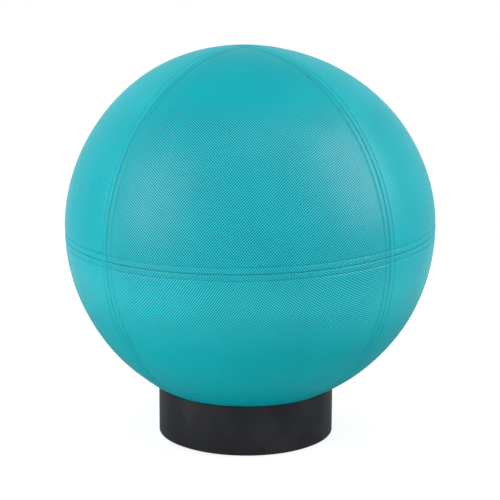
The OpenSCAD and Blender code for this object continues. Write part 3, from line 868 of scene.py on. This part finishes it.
# %% Bladder finish
def vinyl_finish():
    """Soft vinyl: broad pale clouds, and a fine grain in the bump."""
    finish, tree, shader = new_finish("bladder_vinyl", (0.28, 0.31, 0.34), 0.42)
    cloud = grain(tree, object_place(tree), 9, 4)
    tree.links.new(mixed(tree, cloud, (0.25, 0.28, 0.31), (0.31, 0.34, 0.37)), shader.inputs["Base Color"])
    raised(tree, shader, grain(tree, object_place(tree), 700, 2), 0.05 * MM)
    return finish


VINYL = vinyl_finish()
print("vinyl:", len(VINYL.node_tree.nodes), "nodes")

# %% Bladder
BLADDER_OUT = MESH_IN - 0.3 * MM
BLADDER_WALL = 1.5 * MM
VALVE_HOLE_R = 13 * MM
RINGS, COLUMNS = 120, 144
POLE_GAP = 0.004  # radians: the first ring stands off the hole's edge, and the last one off the pole
WAVE_DEPTH, WAVE_LENGTH = 0.25 * MM, 60 * MM
WAVES_START, WAVES_END = (0.08, 0.2), (0.02, 0.12)  # radians from the valve's axis and from the far pole


def bladder():
    """Rings about the valve's axis +Y: a point is (r sin p cos t, r cos p, r sin p sin t), with p from the
    hole to the far pole. r loses up to 0.25 mm in waves of 60 mm that fade near the valve and the pole."""
    hole = math.asin(VALVE_HOLE_R / BLADDER_OUT)
    p = np.concatenate([[hole], np.linspace(hole + POLE_GAP, math.pi - POLE_GAP, RINGS)])
    t = np.arange(COLUMNS) * 2 * math.pi / COLUMNS
    P, T = np.meshgrid(p, t, indexing="ij")
    directions = np.stack([np.sin(P) * np.cos(T), np.cos(P), np.sin(P) * np.sin(T)], -1).reshape(-1, 3)
    dip = WAVE_DEPTH * (0.5 - 0.5 * np.cos(P * BLADDER_OUT * 2 * math.pi / WAVE_LENGTH))
    dip = (dip * smooth(P, *WAVES_START) * smooth(math.pi - P, *WAVES_END)).ravel()
    outer = on_ball(directions, BLADDER_OUT - dip)
    inner = on_ball(directions, np.full(len(directions), BLADDER_OUT - BLADDER_WALL))
    rows = grid_faces(len(p), COLUMNS, closed=True)
    lid = ladder_faces(COLUMNS) + (len(p) - 1) * COLUMNS
    faces = np.concatenate([rows[:, ::-1], lid])
    ball = new_piece("bladder", np.concatenate([outer, inner]), shell_faces(faces, len(directions)))
    ball.data.materials.append(VINYL)
    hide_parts("ball_bladder")


bladder()

# %% [markdown]
# ## Finishes of the hard pieces
#
# The ring is satin moulded plastic with a fine spark-eroded grain, a little duller where hands and shoes
# rub it. The grip and foot rings are matt rubber, the zip's teeth are moulded plastic, and slider and pull
# are nickel. Pictures of such surfaces would need a flat map for each piece. Noise needs none: all of these
# read Object coordinates, so the grain has the same size on every piece and stays on it when it moves.

# %% Plastic, rubber and metal
def moulded_finish(name, color, roughness, grain_size, depth, **sockets):
    """Moulded plastic or rubber: fine grain in the bump, and broad clouds in the roughness and the colour."""
    finish, tree, shader = new_finish(name, color, roughness, **sockets)
    place = object_place(tree)
    cloud = grain(tree, place, 18, 4)
    feed(tree, shader.inputs["Roughness"], ranged(tree, cloud, 0.3, 0.7, roughness - 0.05, roughness + 0.06))
    dust = tuple(min(1, c * 1.25 + 0.004) for c in color)
    tree.links.new(mixed(tree, ranged(tree, cloud, 0.45, 0.75), color, dust), shader.inputs["Base Color"])
    raised(tree, shader, grain(tree, place, 1 / grain_size, 2), depth)
    return finish


def nickel_finish():
    """Brushed nickel: noise squeezed along z, so that its streaks run level, in roughness and bump."""
    finish, tree, shader = new_finish("zip_nickel", (0.55, 0.56, 0.58), 0.3, Metallic=1.0)
    place = add(tree, "ShaderNodeMapping")
    tree.links.new(object_place(tree), place.inputs["Vector"])
    place.inputs["Scale"].default_value = (1, 1, 12)
    scratch = grain(tree, place.outputs["Vector"], 400, 4, 0.7)
    feed(tree, shader.inputs["Roughness"], ranged(tree, scratch, 0.3, 0.8, 0.22, 0.42))
    raised(tree, shader, scratch, 0.02 * MM)
    return finish


# %% The hard pieces get their finishes
SHELL = {"Specular_IOR_Level": 0.12}
STEEL = {"Metallic": 1.0}
HARD_FINISHES = {
    "base_shell": moulded_finish("base_plastic", (0.018, 0.018, 0.022), 0.36, 0.7 * MM, 0.03 * MM, **SHELL),
    "grip_ring": moulded_finish("grip_rubber", (0.015, 0.015, 0.017), 0.8, 1.2 * MM, 0.1 * MM),
    "base_floor": moulded_finish("floor_plastic", (0.020, 0.020, 0.023), 0.55, 0.9 * MM, 0.05 * MM),
    "foot_ring": moulded_finish("foot_rubber", (0.010, 0.010, 0.011), 0.75, 1.0 * MM, 0.08 * MM),
    "valve_seat": moulded_finish("valve_vinyl", (0.24, 0.27, 0.30), 0.45, 0.8 * MM, 0.03 * MM),
    "valve_plug": moulded_finish("plug_plastic", (0.75, 0.76, 0.77), 0.3, 0.8 * MM, 0.01 * MM),
    "zip_teeth_upper": moulded_finish("zip_plastic", (0.02, 0.28, 0.33), 0.28, 0.5 * MM, 0.02 * MM),
    "zip_slider": nickel_finish(),
    "floor_screws": moulded_finish("screw_steel", (0.55, 0.56, 0.58), 0.35, 0.5 * MM, 0.02 * MM, **STEEL),
}
SHARED = {
    "zip_teeth_lower": "zip_teeth_upper",
    "zip_pull": "zip_slider",
    "zip_top_stops": "zip_slider",
    "zip_bottom_stop": "zip_slider",
}
for node_name in [*HARD_FINISHES, *SHARED]:
    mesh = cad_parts[node_name].data
    mesh.materials.clear()
    mesh.materials.append(HARD_FINISHES[SHARED.get(node_name, node_name)])
print("finished hard pieces:", len(HARD_FINISHES) + len(SHARED))

# %% [markdown]
# ## Floor, light and background
#
# The photograph is a cut-out on white with two soft lights at the sides, which leave a pale area on each
# side of the cover. The floor is pale paper and keeps the object's shadow. The camera sees a little extra
# white in the floor and in the world, so that the background reads as white paper.
#
# Cloth and plastic take light in two ways. Their colour needs a plain level from all round, or it would
# clip. Their gloss needs strong lights, or the highlights would be missing. So each side has one softbox
# for both and a second one that only the gloss sees, with one more over the top. The fills and the lamp at
# the back light only the colour.

# %% Floor
FLOOR_R = 2.0
FLOOR_SIDES = 96
FLOOR_DOWN = 0.3 * MM
PAPER, PAPER_SEEN = (0.75, 0.75, 0.75), (0.35, 0.35, 0.35)
GLOW_FROM, GLOW_TO = 0.3, 1.5  # metres from the ring's middle
GLOW_NEAR_GLOSS, GLOW_NEAR_CAMERA, GLOW_FAR = 0.1, 0.80, 0.95


def sees_background(tree):
    """1 for the rays that should see the white background: of the camera, of gloss and through glass."""
    path = add(tree, "ShaderNodeLightPath").outputs
    gloss = calc(tree, "MAXIMUM", path["Is Camera Ray"], path["Is Glossy Ray"])
    return calc(tree, "MAXIMUM", gloss, path["Is Transmission Ray"])


def floor_finish():
    """Pale paper that keeps the shadow near the object and glows up to white towards its rim.
    In gloss the glow is weak near the object, because the object stands in its own shade there."""
    finish, tree, shader = new_finish("floor_paper", PAPER, 0.9, Specular_IOR_Level=0.0)
    seen = sees_background(tree)
    tree.links.new(mixed(tree, seen, PAPER, PAPER_SEEN), shader.inputs["Base Color"])
    away = add(tree, "ShaderNodeVectorMath", operation="LENGTH")
    tree.links.new(object_place(tree), away.inputs[0])
    camera_ray = add(tree, "ShaderNodeLightPath").outputs["Is Camera Ray"]
    near = ranged(tree, camera_ray, 0, 1, GLOW_NEAR_GLOSS, GLOW_NEAR_CAMERA)
    strength = ranged(tree, away.outputs["Value"], GLOW_FROM, GLOW_TO, near, GLOW_FAR)
    glow = add(tree, "ShaderNodeEmission")
    feed(tree, glow.inputs["Strength"], calc(tree, "MULTIPLY", seen, strength))
    both = add(tree, "ShaderNodeAddShader")
    tree.links.new(shader.outputs[0], both.inputs[0])
    tree.links.new(glow.outputs[0], both.inputs[1])
    tree.links.new(both.outputs[0], tree.nodes["Material Output"].inputs["Surface"])
    return finish


around = np.arange(FLOOR_SIDES) * 2 * math.pi / FLOOR_SIDES
floor_points = np.stack([FLOOR_R * np.cos(around), FLOOR_R * np.sin(around), 0 * around - FLOOR_DOWN], 1)
floor_mesh = bpy.data.meshes.new("floor")
floor_mesh.from_pydata(floor_points.tolist(), [], [tuple(range(FLOOR_SIDES))])
floor_mesh.materials.append(floor_finish())
floor = bpy.data.objects.new("floor", floor_mesh)
bpy.context.scene.collection.objects.link(floor)
print("floor:", 2 * FLOOR_R, "m across")

# %% World
ROOM_LIGHT, ROOM_SEEN = 0.26, 1.0

world = bpy.data.worlds.new("studio")
bpy.context.scene.world = world
world.use_nodes = True
tree = world.node_tree
room = tree.nodes["Background"]
room.inputs["Color"].default_value = (1, 1, 1, 1)
feed(tree, room.inputs["Strength"], ranged(tree, sees_background(tree), 0, 1, ROOM_LIGHT, ROOM_SEEN))
print("light from all round:", ROOM_LIGHT)

# %% Lamps
BALL_MIDDLE = (0, 0, 0.35)
LEFT_AT, LEFT_SIZE = (-1.9, -1.15, 1.15), (1.4, 1.9)
RIGHT_AT, RIGHT_SIZE = (2.0, -0.6, 1.5), (1.2, 1.9)


def soft_lamp(name, at, toward, size, power, diffuse=True, gloss=True):
    """A rectangular softbox that faces a point. diffuse and gloss say what it lights."""
    data = bpy.data.lights.new(name, "AREA")
    data.shape = "RECTANGLE"
    data.size, data.size_y = size
    data.energy = power
    lamp = bpy.data.objects.new(name, data)
    bpy.context.scene.collection.objects.link(lamp)
    lamp.location = at
    backwards = Vector(np.array(at, float) - np.array(toward, float))
    lamp.rotation_euler = backwards.to_track_quat("Z", "Y").to_euler()
    lamp.visible_diffuse, lamp.visible_glossy = diffuse, gloss
    print(f"{name}: {power} W")


soft_lamp("left_softbox", LEFT_AT, BALL_MIDDLE, LEFT_SIZE, 27.5)
soft_lamp("right_softbox", RIGHT_AT, BALL_MIDDLE, RIGHT_SIZE, 33.5)
soft_lamp("left_sheen", LEFT_AT, BALL_MIDDLE, LEFT_SIZE, 112, diffuse=False)
soft_lamp("right_sheen", RIGHT_AT, BALL_MIDDLE, RIGHT_SIZE, 135, diffuse=False)
soft_lamp("top_sheen", (0.3, -1.2, 2.8), BALL_MIDDLE, (4.0, 0.9), 30, diffuse=False)
soft_lamp("high_fill", (0.4, -1.2, 2.8), BALL_MIDDLE, (1.8, 1.2), 13, gloss=False)
soft_lamp("low_fill", (-0.8, -2.8, 0.35), (0, 0, 0.2), (2.4, 0.6), 21, gloss=False)
soft_lamp("back_softbox", (-1.6, 1.6, 1.7), BALL_MIDDLE, (2.4, 1.8), 24, gloss=False)
